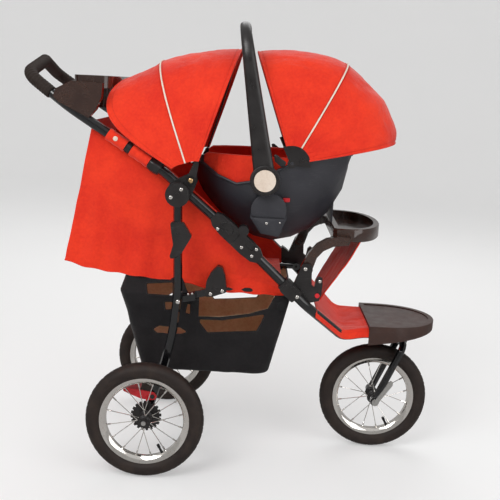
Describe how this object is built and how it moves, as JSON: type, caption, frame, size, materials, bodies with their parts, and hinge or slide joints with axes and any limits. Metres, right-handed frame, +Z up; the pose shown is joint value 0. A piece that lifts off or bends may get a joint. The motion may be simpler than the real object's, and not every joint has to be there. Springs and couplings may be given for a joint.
{
  "type": "travel system pram",
  "caption": "Three-wheel folding pushchair with trays, basket and canopy, carrying an infant carrier with its own canopy and handle.",
  "frame": {"origin": "on the ground, under the middle of the pram's box", "axes": "+X to the front, +Y to the left side, +Z up"},
  "size_m": [1.122, 0.6, 1.1667],
  "materials": {
    "black_fabric": "woven",
    "chrome": "polished",
    "dark_plastic": "fine grain",
    "footrest_plastic": "satin",
    "grip_foam": "ribbed foam",
    "pale_plastic": "satin",
    "red_fabric": "woven",
    "red_plastic": "satin",
    "tray_plastic": "gloss",
    "tube_paint": "gloss black paint",
    "tyre_rubber": "matt",
    "zinc_steel": "zinc plated"
  },
  "bodies": {
    "lower_frame": {"lower_frame_tube": "tube_paint", "fold_housing_lower_right": "dark_plastic", "fold_housing_lower_left": "dark_plastic", "tray_connector_right": "dark_plastic", "tray_connector_left": "dark_plastic", "footrest": "footrest_plastic", "swivel_head": "dark_plastic", "seat_fabric": "red_fabric", "basket": "black_fabric", "calf_panel": "red_fabric", "front_panel": "red_fabric"},
    "upper_frame": {"upper_frame_tube": "tube_paint", "handle_grip": "grip_foam", "fold_housing_upper_right": "dark_plastic", "fold_housing_upper_left": "dark_plastic", "leg_pivot_housing_right": "dark_plastic", "leg_pivot_housing_left": "dark_plastic", "parent_console": "tray_plastic", "canopy": "red_fabric"},
    "canopy_bow": {"canopy_bow": "dark_plastic"},
    "rear_legs": {"rear_leg_right": "tube_paint", "rear_leg_left": "tube_paint", "leg_bracket_right": "dark_plastic", "leg_bracket_left": "dark_plastic", "rear_axle": "zinc_steel"},
    "side_links": {"side_link_right": "tube_paint", "side_link_left": "tube_paint", "link_housing_right": "dark_plastic", "link_housing_left": "dark_plastic"},
    "fold_latch_right": {"fold_latch_right": "dark_plastic"},
    "fold_latch_left": {"fold_latch_left": "dark_plastic"},
    "fold_button_right": {"fold_button_right": "dark_plastic"},
    "fold_button_left": {"fold_button_left": "dark_plastic"},
    "tray_button_right": {"tray_button_right": "red_plastic"},
    "tray_button_left": {"tray_button_left": "red_plastic"},
    "child_tray": {"child_tray": "tray_plastic"},
    "fork": {"fork": "tube_paint", "front_axle": "zinc_steel"},
    "quick_release": {"quick_release_lever": "zinc_steel"},
    "front_wheel": {"front_tyre": "tyre_rubber", "front_rim": "chrome", "front_hub": "dark_plastic"},
    "rear_wheel_right": {"rear_tyre_right": "tyre_rubber", "rear_rim_right": "chrome", "rear_hub_right": "dark_plastic"},
    "rear_wheel_left": {"rear_tyre_left": "tyre_rubber", "rear_rim_left": "chrome", "rear_hub_left": "dark_plastic"},
    "brake_pedal_right": {"brake_pedal_right": "red_plastic"},
    "brake_pedal_left": {"brake_pedal_left": "red_plastic"},
    "carrier": {"carrier_shell": "dark_plastic", "carrier_liner": "red_fabric", "carrier_canopy": "red_fabric", "harness_buckle": "dark_plastic"},
    "buckle_button": {"buckle_button": "red_plastic"},
    "carrier_handle": {"carrier_handle": "dark_plastic"},
    "handle_button_right": {"handle_button_right": "pale_plastic"},
    "handle_button_left": {"handle_button_left": "pale_plastic"},
    "carrier_canopy_bow": {"carrier_canopy_bow": "dark_plastic"}
  },
  "joints": [
    {"name": "frame_fold", "type": "hinge", "parent": "lower_frame", "child": "upper_frame", "pos_m": [0.01474, 0, 0.64961], "axis": [0, 1, 0], "range_deg": [0, 150], "deforming": ["seat_fabric", "basket", "canopy", "canopy_bow", "calf_panel", "front_panel"]},
    {"name": "rear_leg_fold", "type": "hinge", "parent": "upper_frame", "child": "rear_legs", "pos_m": [-0.152, 0, 0.736], "axis": [0, 1, 0], "range_deg": [-55, 0]},
    {"name": "side_link_fold", "type": "hinge", "parent": "lower_frame", "child": "side_links", "pos_m": [0.174, 0, 0.484], "axis": [0, 1, 0], "range_deg": [0, 42]},
    {"name": "carrier_lift", "type": "slide", "parent": "lower_frame", "child": "carrier", "axis": [0.7071, 0, 0.7071], "range_m": [0, 1.6268]},
    {"name": "tray_swing", "type": "hinge", "parent": "lower_frame", "child": "child_tray", "pos_m": [0.1815, 0, 0.556], "axis": [0, -1, 0], "range_deg": [-55, 0], "deforming": ["front_panel"]},
    {"name": "fold_latch_right", "type": "slide", "parent": "lower_frame", "child": "fold_latch_right", "axis": [-0.7547, 0, 0.6561], "range_m": [-0.006, 0], "stiffness_N_per_m": 300},
    {"name": "fold_button_right", "type": "slide", "parent": "upper_frame", "child": "fold_button_right", "axis": [0, -1, 0], "range_m": [-0.003, 0], "stiffness_N_per_m": 300},
    {"name": "tray_button_right", "type": "slide", "parent": "lower_frame", "child": "tray_button_right", "axis": [0, -1, 0], "range_m": [-0.003, 0], "stiffness_N_per_m": 300},
    {"name": "handle_button_right", "type": "slide", "parent": "carrier_handle", "child": "handle_button_right", "axis": [0, -1, 0], "range_m": [-0.003, 0], "stiffness_N_per_m": 300},
    {"name": "brake_right", "type": "hinge", "parent": "rear_legs", "child": "brake_pedal_right", "pos_m": [-0.199, -0.2225, 0.2035], "axis": [0, 1, 0], "range_deg": [-12, 0]},
    {"name": "rear_wheel_right", "type": "hinge", "parent": "rear_legs", "child": "rear_wheel_right", "pos_m": [-0.213, -0.27, 0.1525], "axis": [0, 1, 0], "continuous": true},
    {"name": "fold_latch_left", "type": "slide", "parent": "lower_frame", "child": "fold_latch_left", "axis": [-0.7547, 0, 0.6561], "range_m": [-0.006, 0], "stiffness_N_per_m": 300},
    {"name": "fold_button_left", "type": "slide", "parent": "upper_frame", "child": "fold_button_left", "axis": [0, 1, 0], "range_m": [-0.003, 0], "stiffness_N_per_m": 300},
    {"name": "tray_button_left", "type": "slide", "parent": "lower_frame", "child": "tray_button_left", "axis": [0, 1, 0], "range_m": [-0.003, 0], "stiffness_N_per_m": 300},
    {"name": "handle_button_left", "type": "slide", "parent": "carrier_handle", "child": "handle_button_left", "axis": [0, 1, 0], "range_m": [-0.003, 0], "stiffness_N_per_m": 300},
    {"name": "brake_left", "type": "hinge", "parent": "rear_legs", "child": "brake_pedal_left", "pos_m": [-0.199, 0.2225, 0.2035], "axis": [0, 1, 0], "range_deg": [-12, 0]},
    {"name": "rear_wheel_left", "type": "hinge", "parent": "rear_legs", "child": "rear_wheel_left", "pos_m": [-0.213, 0.27, 0.1525], "axis": [0, 1, 0], "continuous": true},
    {"name": "front_swivel", "type": "hinge", "parent": "lower_frame", "child": "fork", "pos_m": [0.479, 0, 0.3165], "axis": [0, 0, 1], "continuous": true},
    {"name": "front_wheel", "type": "hinge", "parent": "fork", "child": "front_wheel", "pos_m": [0.4085, 0, 0.1525], "axis": [0, 1, 0], "continuous": true},
    {"name": "quick_release", "type": "hinge", "parent": "fork", "child": "quick_release", "pos_m": [0.4085, -0.0705, 0.1525], "axis": [-0.8449, 0, 0.5349], "range_deg": [-80, 0]},
    {"name": "canopy_fold", "type": "hinge", "parent": "upper_frame", "child": "canopy_bow", "pos_m": [-0.122, 0, 0.771], "axis": [0, 1, 0], "range_deg": [-65, 0], "deforming": ["canopy"]},
    {"name": "carrier_handle", "type": "hinge", "parent": "carrier", "child": "carrier_handle", "pos_m": [0.062, 0, 0.778], "axis": [0, -1, 0], "range_deg": [-105, 0]},
    {"name": "carrier_canopy", "type": "hinge", "parent": "carrier", "child": "carrier_canopy_bow", "pos_m": [0.128, 0, 0.822], "axis": [0, -1, 0], "range_deg": [-60, 0], "deforming": ["carrier_canopy"]},
    {"name": "buckle_button", "type": "slide", "parent": "carrier", "child": "buckle_button", "axis": [0, 0, 1], "range_m": [-0.002, 0], "stiffness_N_per_m": 300}
  ],
  "couplings": [
    {"joint": "rear_leg_fold", "follows": "frame_fold", "ratio": -0.364},
    {"joint": "side_link_fold", "follows": "frame_fold", "ratio": 0.277},
    {"joint": "carrier_lift", "follows": "frame_fold", "m_per_rad": 0.62}
  ]
}
